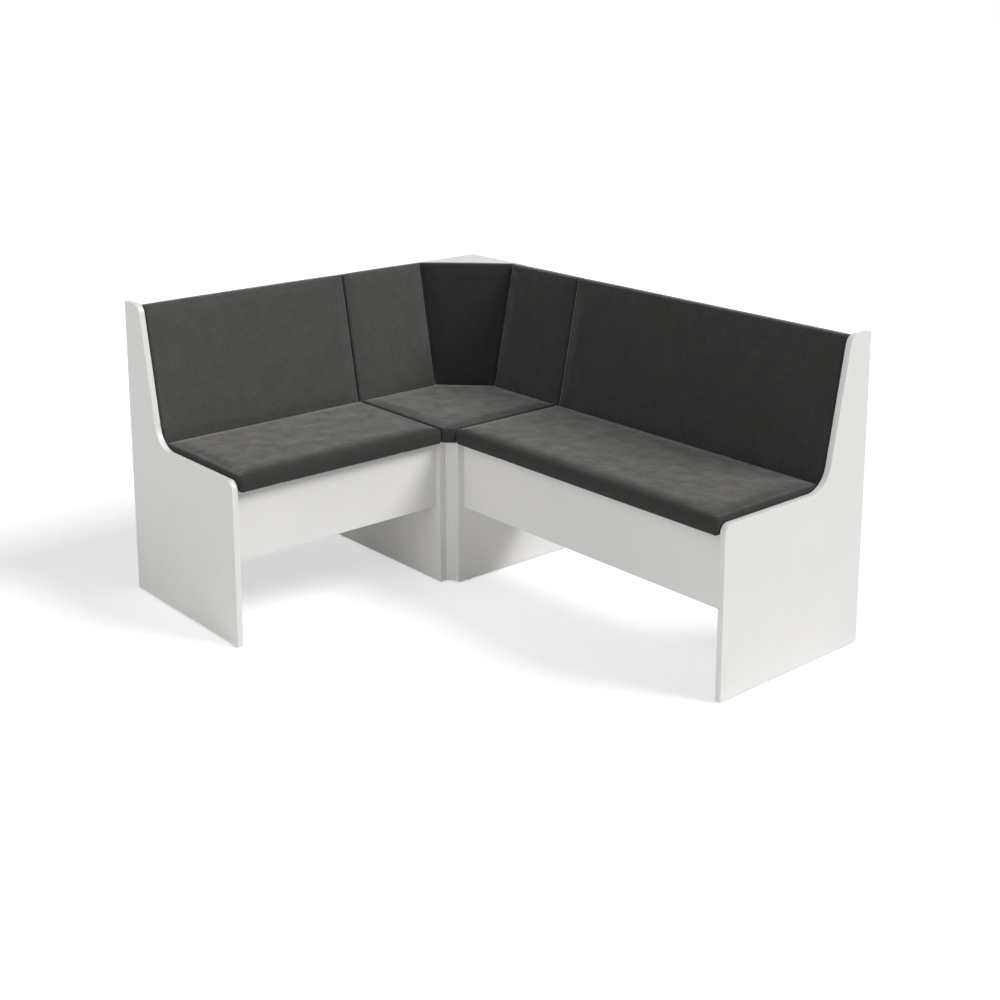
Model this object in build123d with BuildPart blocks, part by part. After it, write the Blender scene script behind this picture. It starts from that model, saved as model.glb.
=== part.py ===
from build123d import *

import math
import os

os.makedirs("parts", exist_ok=True)

# Overall sizes, in millimetres. Both lengths run from the room corner.
long_length = 1490.0
short_length = 1190.0
bench_depth = 510.0
total_height = 800.0

# The corner panels stand this far from the room corner, beyond the depth of the benches
corner_margin = 35.0

# Boards and their edge bands
board = 16.0
edging = 1.0

# Shaped end panels: the seat line, the lean of the back in degrees and the roundings
seat_line = 431.0
back_reach = 146.0
back_lean = 11.25
front_round = 22.0
nook_round = 68.0
top_round = 27.0

# Corner panels, hidden under the seats and behind the backs
corner_panel_drop = 30.0
corner_nook_round = 20.0

# Chest under each straight seat
apron_low = 216.0
apron_setback = 20.0
floor_rise = 10.0
floor_thickness = 8.0
groove_depth = 6.0
groove_play = 0.4
floor_end_play = 1.0

# Upholstered seats, sunk below the seat line of the end panels
seat_sink = 28.0
seat_overhang = 10.0
seat_thickness = 40.0
seat_crown = 5.0
seat_back_gap = 2.0
panel_gap = 4.0
split_gap = 3.0

# Upholstered backs
back_rise = 4.0
back_thickness = 40.0
back_crown = 4.0
corner_split = 266.0

# Shape of the upholstery: rounded edges, crown, and the hem that wraps the board
edge_round = 8.0
edge_steps = 3
plan_round = 6.0
fillet_share = 0.4
crown_reach = 34.0
hem_tuck = 1.5
hem_rise = 5.0
wrap = 3.2
wrap_play = 0.2

# Rails behind the backs
rail_width = 80.0
upper_rail_drop = 32.0
lower_rail_rise = 14.0

# Corner unit: plates behind the diagonal back, post and brace between the panels
top_plate_drop = 15.0
gusset_rise = 45.0
plate_clear = 20.0
post_setback = 3.0
brace_depth = 130.0
brace_height = 80.0
steel = 2.0
bent_leg = 60.0
bent_width = 30.0
bent_margin = 87.0
bracket_leg = 30.0
bracket_width = 20.0
bracket_margin = 90.0

# Butt hinges of the lids
lid_swing_gap = 8.0
long_hinge_count = 3
short_hinge_count = 2
hinge_length = 60.0
hinge_margin = 130.0
knuckle_radius = 3.6
knuckle_gap = 0.4
knuckle_play = 0.3
pin_radius = 2.0
pin_play = 0.05
leaf = 1.5
leaf_width = 26.0

# Knock-down fittings. They and the glides are drawn with few sides, because there are many of them.
fitting_sides = 12
cam_radius = 7.5
cam_skin = 3.5
cam_reach = 24.0
cam_margin = 45.0
cam_play = 0.1
bolt_radius = 3.0
bolt_thread_radius = 2.5
bolt_skin = 5.0
dowel_radius = 4.0
dowel_skin = 6.0
dowel_in_rail = 20.0

# Floor glides
glide_height = 3.0
glide_radius = 7.0
glide_margin = 40.0

# Worked out from the sizes above
UP = Vector(0, 0, 1)
room_corner = Vector(-long_length / 2, short_length / 2, 0)
lean = math.radians(back_lean)
diagonal_lean = math.atan(math.tan(lean) / math.sqrt(2))
facing_share = math.cos(lean) * math.cos(diagonal_lean) / math.sqrt(2) + math.sin(lean) * math.sin(diagonal_lean)
mitre_slope = math.tan(math.acos(facing_share) / 2)
corner_width = bench_depth + corner_margin
corner_face = corner_width - board
apron_front = bench_depth - apron_setback
apron_rear = apron_front - board
seat_low = seat_line - seat_sink
seat_front = bench_depth + seat_overhang
floor_low = apron_low + floor_rise
back_low = seat_line + back_rise
knuckle_stand = knuckle_radius + knuckle_gap
knuckle_clear = knuckle_stand + knuckle_gap
cam_height = board - cam_skin
bolt_thread = board - bolt_skin
dowel_in_panel = board - dowel_skin


def back_depth(height):
    """Depth from the wall of the backs' front face at a height."""
    return back_reach - (height - seat_line) * math.tan(lean)


def up_the_lean(height):
    """Distance from the seat line up the leaning front face."""
    return (height - seat_line) / math.cos(lean)


def back_spot(rise, behind):
    """Depth and height of a point at a rise up the lean and a distance behind the front face."""
    depth = back_reach - rise * math.sin(lean) - behind * math.cos(lean)
    height = seat_line + rise * math.cos(lean) - behind * math.sin(lean)
    return (depth, height)


def rear_depth(height):
    """Depth of the backs' rear face at a height."""
    return back_depth(height) - back_thickness / math.cos(lean)


def diagonal_sum(height):
    """Sum of the distances from both walls on the diagonal back's front face."""
    return corner_split + back_depth(height)


seat_rear = back_depth(back_low) + seat_back_gap
pivot_depth = seat_rear + seat_thickness + knuckle_stand + lid_swing_gap
pivot_height = seat_low - knuckle_stand
chest_back_rear = pivot_depth + knuckle_stand
chest_back_front = chest_back_rear + board


class Bench:
    """A straight bench, which runs from the corner unit along one wall."""

    def __init__(self, name, length, along, out, hinge_count):
        self.name = name
        self.length = length
        self.along = Vector(along)
        self.out = Vector(out)
        self.turn = -self.out.cross(UP).dot(self.along)
        self.inner_start = corner_width
        self.inner_end = length - board
        self.soft_start = corner_width + split_gap / 2
        self.soft_end = length - board - panel_gap
        first = self.soft_start + hinge_margin
        pitch = (self.soft_end - hinge_margin - first) / (hinge_count - 1)
        self.hinges = [first + pitch * index for index in range(hinge_count)]

    def point(self, along, depth, height=0.0):
        """Place from the distance along the wall, the depth from it and the height."""
        return room_corner + self.along * along + self.out * depth + UP * height

    def spot(self, along, depth):
        """The same place as a flat pair for a sketch on a level plane."""
        place = self.point(along, depth)
        return (place.X, place.Y)

    def across(self, along):
        """Plane square to the wall: x is the depth from the wall, y the height."""
        return Plane(self.point(along, 0), x_dir=self.out, z_dir=self.out.cross(UP))

    def facing(self, depth):
        """Plane parallel to the wall: x is turn times the distance along it, y the height."""
        return Plane(self.point(0, depth), x_dir=self.along * self.turn, z_dir=self.out)

    def leaning(self, behind):
        """Plane of the backs, a distance behind their front face: y runs up the lean."""
        normal = self.out * math.cos(lean) + UP * math.sin(lean)
        start = self.point(0, back_reach, seat_line)
        return Plane(start, x_dir=self.along * self.turn, z_dir=normal).offset(-behind)

    def run(self, distance):
        """Amount that extrudes a sketch on an across plane away from the corner."""
        return -self.turn * distance

    def strip(self, start, end, low, high):
        """Corners of a rectangle on a facing or leaning plane."""
        return rectangle(self.turn * start, self.turn * end, low, high)


def rectangle(left, right, low, high):
    return [(left, low), (right, low), (right, high), (left, high)]


def outline(plane, corners, inset=0.0, rounding=0.0):
    """Filled outline on a plane, drawn in by an inset and with rounded corners."""
    with BuildSketch(plane) as sketch:
        with BuildLine():
            Polyline(*corners, close=True)
        make_face()
        if inset:
            offset(amount=-inset, kind=Kind.INTERSECTION)
        if rounding:
            shortest = min(edge.length for edge in sketch.edges())
            fillet(sketch.vertices(), min(rounding, shortest * fillet_share))
    return sketch.sketch


def discs(plane, spots, radius):
    """Circles on a plane, for the hinge knuckles and their pins."""
    with BuildSketch(plane) as sketch:
        with Locations(*spots):
            Circle(radius)
    return sketch.sketch


def plugs(plane, spots, radius):
    """Many-sided outlines on a plane, for the fittings and their bores."""
    with BuildSketch(plane) as sketch:
        with Locations(*spots):
            RegularPolygon(radius, fitting_sides)
    return sketch.sketch


def save(piece, name):
    piece.part.label = name
    export_step(piece.part, f"parts/{name}.step")


def pad_levels(thickness, crown):
    """Inset and height of the outlines from the tucked hem over the rounded edge to the crown."""
    levels = [(hem_tuck, 0.0), (0.0, hem_rise)]
    for step in range(edge_steps + 1):
        angle = math.pi / 2 * step / edge_steps
        inset = edge_round * (1 - math.cos(angle))
        levels.append((inset, thickness - edge_round * (1 - math.sin(angle))))
    levels.append((crown_reach, thickness + crown))
    return levels


def upright(corners):
    """The same corners at every height."""
    return lambda height: corners


def make_upholstery(name, plane, corners_at, thickness, crown):
    """Upholstered board: a crowned cushion that wraps its board. The plane is its rear, with corners at each height."""

    def core_faces(inset):
        return [outline(plane.offset(height), corners_at(height), inset) for height in (0.0, board)]

    with BuildPart() as cushion:
        sections = []
        for inset, height in pad_levels(thickness, crown):
            rounding = max(plan_round - inset, hem_tuck)
            sections.append(outline(plane.offset(height), corners_at(height), inset, rounding))
        loft(sections, ruled=True)
        loft(core_faces(wrap - wrap_play), ruled=True, mode=Mode.SUBTRACT)
    save(cushion, f"{name}_cushion")
    with BuildPart() as core:
        loft(core_faces(wrap), ruled=True)
    save(core, f"{name}_board")


def end_outline(plane, inset):
    """Side view of an end panel, drawn in by the edge band where it has one."""
    shift = inset / math.cos(lean)
    front = bench_depth - inset
    seat = seat_line - inset
    top = total_height - inset
    nook = (back_depth(seat) - shift, seat)
    head = (back_depth(top) - shift, top)
    corners = [(0, glide_height), (front, glide_height), (front, seat), nook, head, (0, top)]
    roundings = [((front, seat), front_round - inset), (nook, nook_round + inset)]
    roundings.append((head, top_round - inset))
    with BuildSketch(plane) as sketch:
        with BuildLine():
            Polyline(*corners, close=True)
        make_face()
        for corner, radius in roundings:
            fillet(sketch.vertices().sort_by_distance(corner)[0], radius)
    return sketch.sketch


def apron_bolts():
    """Depth and height of the cam bolts in an apron's ends."""
    middle = apron_front - board / 2
    return [(middle, apron_low + cam_margin), (middle, seat_low - cam_margin)]


def chest_back_bolts():
    """Depth and height of the cam bolt in a chest back's ends."""
    return [(chest_back_rear + board / 2, (floor_low + seat_low) / 2)]


def rail_lows():
    """Lower edges of the two rails, up the lean, by name."""
    upper = up_the_lean(total_height - upper_rail_drop) - rail_width
    return {"upper": upper, "lower": up_the_lean(back_low + lower_rail_rise)}


def rail_dowels():
    """Depth and height of the dowel in the middle of each rail's end."""
    return [back_spot(low + rail_width / 2, back_thickness + board / 2) for low in rail_lows().values()]


def drill_panel(bench, face, away):
    """Bores in a panel for the bolts and dowels that enter at a face, away from the chest."""
    plane = bench.across(face)
    bolts = plugs(plane, apron_bolts() + chest_back_bolts(), bolt_thread_radius + cam_play)
    extrude(bolts, amount=bench.run(away * (bolt_thread + cam_play)), mode=Mode.SUBTRACT)
    dowels = plugs(plane, rail_dowels(), dowel_radius + cam_play)
    extrude(dowels, amount=bench.run(away * (dowel_in_panel + cam_play)), mode=Mode.SUBTRACT)


def make_end_panel(bench):
    """Shaped end panel, and the band round its front, seat, back and top edges."""
    plane = bench.across(bench.inner_end)
    with BuildPart() as panel:
        extrude(end_outline(plane, edging), amount=bench.run(board))
        drill_panel(bench, bench.inner_end, 1)
    save(panel, f"{bench.name}_end_panel")
    with BuildPart() as band:
        extrude(end_outline(plane, 0.0), amount=bench.run(board))
        extrude(end_outline(plane, edging), amount=bench.run(board), mode=Mode.SUBTRACT)
    save(band, f"{bench.name}_end_edging")


def make_corner_panel(bench):
    """Panel between the corner unit and a bench: it carries the corner seat and a corner back."""
    nook = (rear_depth(seat_low), seat_low)
    top = total_height - corner_panel_drop
    corners = [(0, glide_height), (bench_depth, glide_height), (bench_depth, seat_low), nook]
    corners += [(rear_depth(top), top), (0, top)]
    with BuildPart() as panel:
        with BuildSketch(bench.across(corner_face)) as side:
            with BuildLine():
                Polyline(*corners, close=True)
            make_face()
            fillet(side.vertices().sort_by_distance(nook)[0], corner_nook_round)
        extrude(amount=bench.run(board))
        drill_panel(bench, corner_width, -1)
    save(panel, f"corner_{bench.name}_panel")


def cam_places(bench, bolts):
    """Where cams sit on a board's rear face, at both of its ends."""
    places = (bench.inner_start + cam_reach, bench.inner_end - cam_reach)
    return [(bench.turn * along, height) for along in places for _, height in bolts]


def chest_board(bench, rear, low, bolts, groove_at):
    """Upright board of a chest, grooved for the floor and bored for its cams and their bolts."""
    corners = rectangle(rear, rear + board, low, seat_low)
    length = bench.inner_end - bench.inner_start
    extrude(outline(bench.across(bench.inner_start), corners), amount=bench.run(length))
    groove_high = floor_low + floor_thickness + groove_play
    groove = rectangle(groove_at, groove_at + groove_depth, floor_low, groove_high)
    cut = outline(bench.across(bench.inner_start), groove)
    extrude(cut, amount=bench.run(length), mode=Mode.SUBTRACT)
    pockets = plugs(bench.facing(rear), cam_places(bench, bolts), cam_radius + cam_play)
    extrude(pockets, amount=cam_height + cam_play, mode=Mode.SUBTRACT)
    for end, inward in ((bench.inner_start, 1), (bench.inner_end, -1)):
        bores = plugs(bench.across(end), bolts, bolt_radius + cam_play)
        extrude(bores, amount=bench.run(inward * cam_reach), mode=Mode.SUBTRACT)


def make_chest(bench):
    """Apron, back and floor of the chest under a straight seat."""
    with BuildPart() as apron:
        chest_board(bench, apron_rear, apron_low, apron_bolts(), apron_rear)
    save(apron, f"{bench.name}_apron")
    with BuildPart() as back:
        groove_at = chest_back_front - groove_depth
        chest_board(bench, chest_back_rear, apron_low, chest_back_bolts(), groove_at)
    save(back, f"{bench.name}_chest_back")
    with BuildPart() as floor:
        start = bench.inner_start + floor_end_play
        end = bench.inner_end - floor_end_play
        rear = chest_back_front - groove_depth + groove_play
        front = apron_rear + groove_depth - groove_play
        corners = rectangle(rear, front, floor_low, floor_low + floor_thickness)
        extrude(outline(bench.across(start), corners), amount=bench.run(end - start))
    save(floor, f"{bench.name}_chest_floor")


def make_rails(bench):
    """Rails behind a bench's back, dowelled between its end panel and the corner panel."""
    for level, low in rail_lows().items():
        with BuildPart() as rail:
            corners = bench.strip(bench.inner_start, bench.inner_end, low, low + rail_width)
            extrude(outline(bench.leaning(back_thickness + board), corners), amount=board)
            spot = back_spot(low + rail_width / 2, back_thickness + board / 2)
            for end, inward in ((bench.inner_start, 1), (bench.inner_end, -1)):
                bore = plugs(bench.across(end), [spot], dowel_radius + cam_play)
                extrude(bore, amount=bench.run(inward * (dowel_in_rail + cam_play)), mode=Mode.SUBTRACT)
        save(rail, f"{bench.name}_{level}_rail")


def make_fittings(bench):
    """Cam locks, their bolts and the rail dowels of a bench."""
    ends = ((bench.inner_start, 1), (bench.inner_end, -1))
    with BuildPart() as cams:
        for rear, bolts in ((apron_rear, apron_bolts()), (chest_back_rear, chest_back_bolts())):
            faces = plugs(bench.facing(rear), cam_places(bench, bolts), cam_radius)
            extrude(faces, amount=cam_height)
    save(cams, f"{bench.name}_cam_locks")
    with BuildPart() as bolts:
        spots = apron_bolts() + chest_back_bolts()
        for end, inward in ends:
            plane = bench.across(end)
            extrude(plugs(plane, spots, bolt_radius), amount=bench.run(inward * (cam_reach - cam_radius)))
            extrude(plugs(plane, spots, bolt_thread_radius), amount=bench.run(-inward * bolt_thread))
    save(bolts, f"{bench.name}_cam_bolts")
    with BuildPart() as dowels:
        for end, inward in ends:
            plane = bench.across(end)
            extrude(plugs(plane, rail_dowels(), dowel_radius), amount=bench.run(inward * dowel_in_rail))
            extrude(plugs(plane, rail_dowels(), dowel_radius), amount=bench.run(-inward * dowel_in_panel))
    save(dowels, f"{bench.name}_dowels")


def make_lid(bench):
    """Seat of a straight bench, which is the lid of its chest."""
    corners = rectangle(bench.soft_start, bench.soft_end, seat_rear, seat_front)
    flat = [bench.spot(along, depth) for along, depth in corners]
    plane = Plane.XY.offset(seat_low)
    make_upholstery(f"{bench.name}_seat", plane, upright(flat), seat_thickness, seat_crown)


def hinge_leaf(bench, start, plate, tab, knuckles):
    """Leaf of one hinge: a plate, and tabs that roll into knuckles round the pivot."""
    axis = [(pivot_depth, pivot_height)]
    extrude(outline(bench.across(start), plate), amount=bench.run(hinge_length))
    for low, high in knuckles:
        plane = bench.across(low)
        extrude(outline(plane, tab), amount=bench.run(high - low))
        extrude(discs(plane, axis, knuckle_radius), amount=bench.run(high - low))
    bore = discs(bench.across(start), axis, pin_radius + pin_play)
    extrude(bore, amount=bench.run(hinge_length), mode=Mode.SUBTRACT)


def make_hinges(bench):
    """Butt hinges between the chest back's rear face and the underside of the lid."""
    third = hinge_length / 3
    wall = (chest_back_rear - leaf, chest_back_rear)
    frame_plate = rectangle(*wall, pivot_height - leaf_width, pivot_height - knuckle_clear)
    frame_tab = rectangle(*wall, pivot_height - knuckle_clear, pivot_height)
    under = (seat_low - leaf, seat_low)
    lid_plate = rectangle(pivot_depth - leaf_width, pivot_depth - knuckle_clear, *under)
    lid_tab = rectangle(pivot_depth - knuckle_clear, pivot_depth, *under)
    with BuildPart() as frame_leaves:
        for centre in bench.hinges:
            start = centre - hinge_length / 2
            end = centre + hinge_length / 2
            hinge_leaf(bench, start, frame_plate, frame_tab, [(start, start + third), (end - third, end)])
    save(frame_leaves, f"{bench.name}_hinge_frame_leaves")
    with BuildPart() as lid_leaves:
        for centre in bench.hinges:
            start = centre - hinge_length / 2
            half = third / 2 - knuckle_play
            hinge_leaf(bench, start, lid_plate, lid_tab, [(centre - half, centre + half)])
    save(lid_leaves, f"{bench.name}_hinge_lid_leaves")
    with BuildPart() as pins:
        axis = [(pivot_depth, pivot_height)]
        for centre in bench.hinges:
            plane = bench.across(centre - hinge_length / 2)
            extrude(discs(plane, axis, pin_radius), amount=bench.run(hinge_length))
    save(pins, f"{bench.name}_hinge_pins")


def make_back(name, bench, start, end, slope=0.0):
    """Upholstered back along a wall, between two places on it. A slope mitres its start."""

    def corners_at(height):
        mitred = start - slope * (back_thickness - height)
        return bench.strip(mitred, end, up_the_lean(back_low), up_the_lean(total_height))

    make_upholstery(name, bench.leaning(back_thickness), corners_at, back_thickness, back_crown)


def diagonal_plane(behind):
    """Plane of the diagonal back, a distance behind its front face: y runs up its lean."""
    middle = diagonal_sum(seat_line) / 2
    out = (long_bench.out + short_bench.out).normalized()
    normal = out * math.cos(diagonal_lean) + UP * math.sin(diagonal_lean)
    across = (long_bench.along - short_bench.along).normalized()
    return Plane(long_bench.point(middle, middle, seat_line), x_dir=across, z_dir=normal).offset(-behind)


def make_diagonal_back():
    """Back across the corner: a mitred trapezoid, because the backs beside it lean away from each other."""
    ends = []
    for height in (back_low, total_height):
        half = (corner_split - back_depth(height) - split_gap) / math.sqrt(2)
        ends.append((half, (height - seat_line) / math.cos(diagonal_lean)))
    (low_half, low), (high_half, high) = ends
    slant = math.atan2(high_half - low_half, high - low)

    def corners_at(height):
        spread = mitre_slope * (back_thickness - height) / math.cos(slant)
        lower = low_half + spread
        upper = high_half + spread
        return [(-lower, low), (lower, low), (upper, high), (-upper, high)]

    plane = diagonal_plane(back_thickness)
    make_upholstery("corner_diagonal_back", plane, corners_at, back_thickness, back_crown)


def make_corner_seat():
    """Fixed seat in the corner, cut off behind along the diagonal back and at its front corner."""
    edge = corner_width - split_gap / 2
    cut = diagonal_sum(back_low) + seat_back_gap * math.sqrt(2) - seat_rear
    half = [(cut, seat_rear), (edge, seat_rear), (edge, seat_front)]
    corners = half + [(second, first) for first, second in reversed(half)]
    flat = [long_bench.spot(*corner) for corner in corners]
    make_upholstery("corner_seat", Plane.XY.offset(seat_low), upright(flat), seat_thickness, seat_crown)


def diagonal_board(total, low, high):
    """Board on edge between the corner panels: total is the sum of wall distances on its front face."""
    front = total - corner_face
    rear = front - board * math.sqrt(2)
    corners = [(corner_face, front), (front, corner_face), (rear, corner_face), (corner_face, rear)]
    flat = [long_bench.spot(*corner) for corner in corners]
    extrude(outline(Plane.XY.offset(low), flat), amount=high - low)


def make_corner_frame():
    """Post in the inner corner and brace under the seat, mitred between the corner panels."""
    with BuildPart() as post:
        diagonal_board(corner_face + bench_depth - post_setback, glide_height, seat_low)
    save(post, "corner_front_post")
    with BuildPart() as brace:
        diagonal_board(corner_face + brace_depth, seat_low - brace_height, seat_low)
    save(brace, "corner_seat_brace")


def make_corner_plate(name, top):
    """Level plate in the room corner, bevelled to sit against the diagonal back's rear face."""
    low = top - board
    total = diagonal_sum(low) - back_thickness / math.cos(diagonal_lean) * math.sqrt(2)
    reach = corner_split - plate_clear
    cut = total - reach
    corners = [(0, 0), (reach, 0), (reach, cut), (cut, reach), (0, reach)]
    flat = [long_bench.spot(*corner) for corner in corners]
    with BuildPart() as plate:
        extrude(outline(Plane.XY.offset(low), flat), amount=board)
        split(bisect_by=diagonal_plane(back_thickness), keep=Keep.BOTTOM)
    save(plate, name)


def make_back_plates():
    """Bent steel plates behind the joints of the diagonal back with its neighbours."""
    diagonal_rear = diagonal_plane(back_thickness)
    with BuildPart() as plates:
        for bench in benches:
            bench_rear = bench.leaning(back_thickness)
            fold = bench_rear.intersect(diagonal_rear)
            rise = fold.direction if fold.direction.Z > 0 else -fold.direction
            first, second = bench_rear.z_dir, diagonal_rear.z_dir
            to_bench = rise.cross(first)
            to_bench = to_bench if to_bench.dot(bench.along) > 0 else -to_bench
            to_middle = rise.cross(second)
            to_middle = to_middle if to_middle.dot(bench.along) < 0 else -to_middle
            knee = (first + second) * (-steel / (1 + first.dot(second)))
            corners = [Vector(0, 0, 0), to_bench * bent_leg, to_bench * bent_leg - first * steel, knee]
            corners += [to_middle * bent_leg - second * steel, to_middle * bent_leg]
            for height in (back_low + bent_margin, total_height - bent_margin):
                place = fold.position + rise * ((height - fold.position.Z) / rise.Z)
                section = Plane(place, x_dir=to_bench, z_dir=rise)
                spots = [section.to_local_coords(place + corner) for corner in corners]
                bent = outline(section, [(spot.X, spot.Y) for spot in spots])
                extrude(bent, amount=bent_width / 2, both=True)
    save(plates, "corner_back_plates")


def make_brackets():
    """Angle brackets that hold the corner seat's board to the corner panels."""
    drops = [(0, 0), (bracket_leg, 0), (bracket_leg, steel)]
    drops += [(steel, steel), (steel, bracket_leg), (0, bracket_leg)]
    depths = (seat_rear + bracket_margin, bench_depth - bracket_margin - bracket_width)
    with BuildPart() as brackets:
        for bench in benches:
            flat = [(bench.turn * (corner_face - inward), seat_low - down) for inward, down in drops]
            for depth in depths:
                extrude(outline(bench.facing(depth), flat), amount=bracket_width)
    save(brackets, "corner_brackets")


def make_glides():
    """Nail-on glides under the front and rear of the four standing panels."""
    with BuildPart() as glides:
        depths = (glide_margin, bench_depth - glide_margin)
        spots = []
        for bench in benches:
            for panel_face in (corner_width, bench.length):
                spots += [bench.spot(panel_face - board / 2, depth) for depth in depths]
        extrude(plugs(Plane.XY, spots, glide_radius), amount=glide_height)
    save(glides, "floor_glides")


long_bench = Bench("long", long_length, (1, 0, 0), (0, -1, 0), long_hinge_count)
short_bench = Bench("short", short_length, (0, -1, 0), (1, 0, 0), short_hinge_count)
benches = (long_bench, short_bench)

for bench in benches:
    make_end_panel(bench)
    make_corner_panel(bench)
    make_chest(bench)
    make_rails(bench)
    make_fittings(bench)
    make_lid(bench)
    make_hinges(bench)
    make_back(f"{bench.name}_back", bench, bench.soft_start, bench.soft_end)
    corner_back = (corner_split + split_gap / 2, corner_width - split_gap / 2)
    make_back(f"corner_{bench.name}_back", bench, *corner_back, mitre_slope)

make_diagonal_back()
make_corner_seat()
make_corner_frame()
make_corner_plate("corner_top_plate", total_height - top_plate_drop)
make_corner_plate("corner_lower_gusset", back_low + gusset_rise)
make_back_plates()
make_brackets()
make_glides()
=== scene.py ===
# %% [markdown]
# # Dressing a corner bench
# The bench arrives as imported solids: white boards, upholstery, hinges and fittings, each in its place.
# Here those solids get their looks: fabric that swells over foam, soft arrises, screws, staples and
# finishes. The solids are a fixed frame. They are never moved, so each new piece goes where they say.

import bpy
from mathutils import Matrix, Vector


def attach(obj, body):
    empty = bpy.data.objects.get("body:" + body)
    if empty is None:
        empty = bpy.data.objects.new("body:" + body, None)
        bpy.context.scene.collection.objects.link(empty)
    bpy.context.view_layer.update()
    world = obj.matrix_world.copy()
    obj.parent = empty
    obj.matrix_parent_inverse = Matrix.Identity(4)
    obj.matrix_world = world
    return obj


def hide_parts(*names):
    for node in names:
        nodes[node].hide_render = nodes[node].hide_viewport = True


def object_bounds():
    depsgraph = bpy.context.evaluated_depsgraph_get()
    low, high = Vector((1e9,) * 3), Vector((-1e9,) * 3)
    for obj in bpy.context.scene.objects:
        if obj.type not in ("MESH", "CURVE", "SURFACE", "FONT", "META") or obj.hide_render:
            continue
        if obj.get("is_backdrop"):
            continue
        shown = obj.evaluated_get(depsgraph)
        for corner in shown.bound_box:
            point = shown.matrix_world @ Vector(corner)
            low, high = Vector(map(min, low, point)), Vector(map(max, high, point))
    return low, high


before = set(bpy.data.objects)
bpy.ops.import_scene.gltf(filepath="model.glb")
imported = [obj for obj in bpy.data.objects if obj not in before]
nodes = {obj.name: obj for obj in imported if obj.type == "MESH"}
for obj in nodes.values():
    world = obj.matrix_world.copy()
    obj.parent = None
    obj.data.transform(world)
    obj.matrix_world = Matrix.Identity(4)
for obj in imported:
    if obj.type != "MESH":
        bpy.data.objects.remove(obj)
cad_low, cad_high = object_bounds()

# %% Tools of the lesson
import math

import bmesh
import bpy
from mathutils import Matrix, Vector, noise
from mathutils.bvhtree import BVHTree

ALONG_X = Vector((1.0, 0.0, 0.0))
ALONG_Y = Vector((0.0, 1.0, 0.0))
UP = Vector((0.0, 0.0, 1.0))
millimetre = 0.001
scene = bpy.context.scene
print("box of the solids:", [round(side, 3) for side in cad_high - cad_low])

# %% [markdown]
# ## Camera
# The eye stands in front of the open side of the L, at the height of someone who stands.
# Its place was worked out from the edges of the panels, so that they fall where they are in the picture.
# A lens shift keeps the uprights of the panels nearly parallel, as a product photographer would.

# %% Place the camera
eye = Vector((2.88127, -2.42826, 1.63644))
turn_left = math.radians(49.16871)
look_down = math.radians(11.94058)
lens = bpy.data.cameras.new("camera")
lens.sensor_width = 36.0
lens.lens = 55.36455
lens.shift_y = -0.2
camera = bpy.data.objects.new("camera", lens)
camera.location = eye
camera.rotation_euler = (math.pi / 2 - look_down, 0.0, turn_left)
scene.collection.objects.link(camera)
scene.camera = camera
print("camera to the middle of the bench:", round((eye - (cad_low + cad_high) / 2).length, 2), "m")

# %% [markdown]
# ## Nodes for floor, light and finishes
# Every finish is a small tree of shader nodes. A few helpers keep the trees readable: one adds a node
# with its values, one joins an output to an input, and one does a sum on two values.
# Colours are written as linear light, from 0 to 1.

# %% Helpers for shader nodes
def add_node(tree, kind, values=None, **settings):
    """Adds a shader node, with values for its inputs and settings for the node itself."""
    made = tree.nodes.new(kind)
    for name, value in settings.items():
        setattr(made, name, value)
    for name, value in (values or {}).items():
        made.inputs[name].default_value = value
    return made


def join(tree, output, entry):
    """Joins an output of one node to an input of another."""
    tree.links.new(output, entry)


def calculate(tree, operation, first, second, **settings):
    """A sum, product or comparison of two values, each a node's output or a plain number."""
    made = add_node(tree, "ShaderNodeMath", operation=operation, **settings)
    for entry, value in zip(made.inputs, (first, second)):
        if isinstance(value, float):
            entry.default_value = value
        else:
            join(tree, value, entry)
    return made.outputs[0]


def new_finish(name, values):
    """A new material with one Principled shader, whose plain values are set on its own sockets."""
    finish = bpy.data.materials.new(name)
    finish.use_nodes = True
    shader = finish.node_tree.nodes["Principled BSDF"]
    for entry, value in values.items():
        shader.inputs[entry].default_value = value
    return finish, finish.node_tree, shader


view_transform = "Standard"
scene.view_settings.view_transform = view_transform
print("view transform:", view_transform)

# %% [markdown]
# ## Floor and light
# A studio floor is a plain pale sheet. It catches the soft shadow of the bench, and to the camera it
# adds a little light of its own, so that the unshaded floor reads as white without lighting the bench
# any more. The sky does the same: it is white to the camera and a quiet grey to the bench.

# %% Make the floor
floor_half = 40.0
floor_white = 0.84
floor_lift = 0.48


def seen_directly(tree):
    """One for rays that come from the camera, or by a mirror or glass, and nought for other light."""
    path = add_node(tree, "ShaderNodeLightPath")
    first = calculate(tree, "ADD", path.outputs["Is Camera Ray"], path.outputs["Is Glossy Ray"])
    return calculate(tree, "ADD", first, path.outputs["Is Transmission Ray"], use_clamp=True)


def show(form, name):
    """Puts a bmesh into the scene as an object at the origin."""
    mesh = bpy.data.meshes.new(name)
    form.to_mesh(mesh)
    form.free()
    piece = bpy.data.objects.new(name, mesh)
    scene.collection.objects.link(piece)
    return piece


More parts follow.
